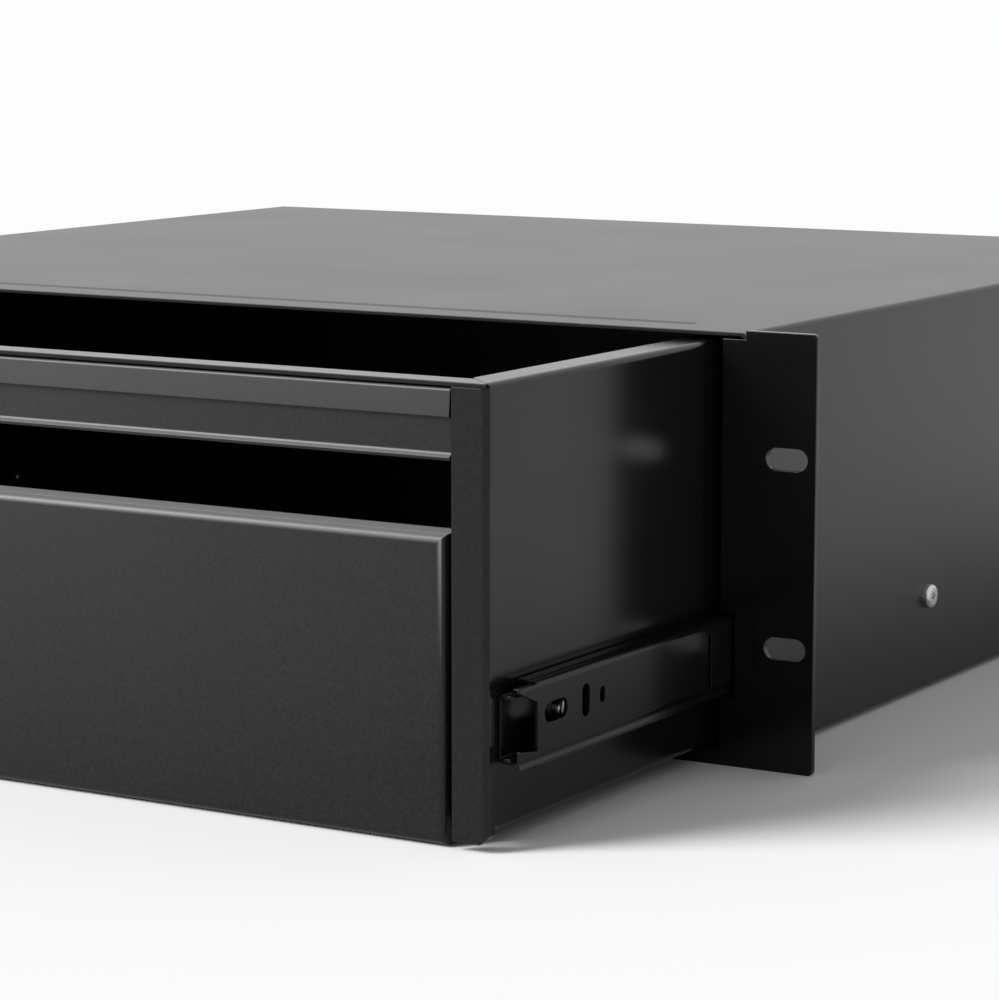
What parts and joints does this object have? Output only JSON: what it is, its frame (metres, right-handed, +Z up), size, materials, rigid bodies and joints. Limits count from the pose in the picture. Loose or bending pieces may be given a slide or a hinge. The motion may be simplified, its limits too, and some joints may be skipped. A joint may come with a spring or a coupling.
{
  "type": "sliding rack drawer",
  "caption": "Rack mount equipment drawer: folded steel case with slotted rack ears and a deep drawer on telescopic ball bearing slides.",
  "frame": {"origin": "middle of the four rack slots, in the plane of the ears' rear faces, where they seat on the rack", "axes": "+X to the right seen from the front, +Y from the front into the rack, +Z up"},
  "size_m": [0.4826, 0.5203, 0.1324],
  "materials": {
    "case_paint": "fine texture satin black powder coat",
    "drawer_paint": "fine texture satin black powder coat",
    "slide_finish": "smooth satin black electrophoretic coat on rolled steel",
    "cage_zinc": "zinc plated spring steel strip",
    "ball_steel": "polished bearing steel",
    "screw_zinc": "bright zinc plated steel",
    "screw_black": "black zinc plated steel",
    "rubber": "moulded matt black rubber"
  },
  "bodies": {
    "case": {"front_frame": "case_paint", "case_wrap": "case_paint", "case_bottom": "case_paint", "case_rear_panel": "case_paint", "case_screws": "screw_black", "slide_outer_left": "slide_finish", "slide_outer_right": "slide_finish", "rear_bumper_left": "rubber", "rear_bumper_right": "rubber"},
    "middle_left": {"slide_middle_left": "slide_finish"},
    "middle_right": {"slide_middle_right": "slide_finish"},
    "outer_cage_left": {"outer_cage_left": "cage_zinc", "outer_balls_left": "ball_steel"},
    "outer_cage_right": {"outer_cage_right": "cage_zinc", "outer_balls_right": "ball_steel"},
    "inner_cage_left": {"inner_cage_left": "cage_zinc", "inner_balls_left": "ball_steel"},
    "inner_cage_right": {"inner_cage_right": "cage_zinc", "inner_balls_right": "ball_steel"},
    "drawer": {"drawer_tray": "drawer_paint", "drawer_front_wall": "drawer_paint", "drawer_rear_wall": "drawer_paint", "drawer_front_panel": "drawer_paint", "pull_strip": "drawer_paint", "panel_screws": "screw_black", "drawer_screws": "screw_zinc", "slide_inner_left": "slide_finish", "slide_inner_right": "slide_finish"}
  },
  "joints": [
    {"name": "middle_left_slide", "type": "slide", "parent": "case", "child": "middle_left", "axis": [0, -1, 0], "range_m": [-0.12, 0.06]},
    {"name": "middle_right_slide", "type": "slide", "parent": "case", "child": "middle_right", "axis": [0, -1, 0], "range_m": [-0.12, 0.06]},
    {"name": "outer_cage_left_slide", "type": "slide", "parent": "case", "child": "outer_cage_left", "axis": [0, -1, 0], "range_m": [-0.06, 0.03]},
    {"name": "outer_cage_right_slide", "type": "slide", "parent": "case", "child": "outer_cage_right", "axis": [0, -1, 0], "range_m": [-0.06, 0.03]},
    {"name": "drawer_slide", "type": "slide", "parent": "middle_left", "child": "drawer", "axis": [0, -1, 0], "range_m": [0, 0.175]},
    {"name": "inner_cage_left_slide", "type": "slide", "parent": "middle_left", "child": "inner_cage_left", "axis": [0, -1, 0], "range_m": [0, 0.0875]},
    {"name": "inner_cage_right_slide", "type": "slide", "parent": "middle_right", "child": "inner_cage_right", "axis": [0, -1, 0], "range_m": [0, 0.0875]}
  ],
  "couplings": [
    {"joint": "middle_right_slide", "follows": "middle_left_slide", "ratio": 1},
    {"joint": "outer_cage_left_slide", "follows": "middle_left_slide", "ratio": 0.5},
    {"joint": "outer_cage_right_slide", "follows": "middle_left_slide", "ratio": 0.5},
    {"joint": "inner_cage_left_slide", "follows": "drawer_slide", "ratio": 0.5},
    {"joint": "inner_cage_right_slide", "follows": "drawer_slide", "ratio": 0.5}
  ]
}
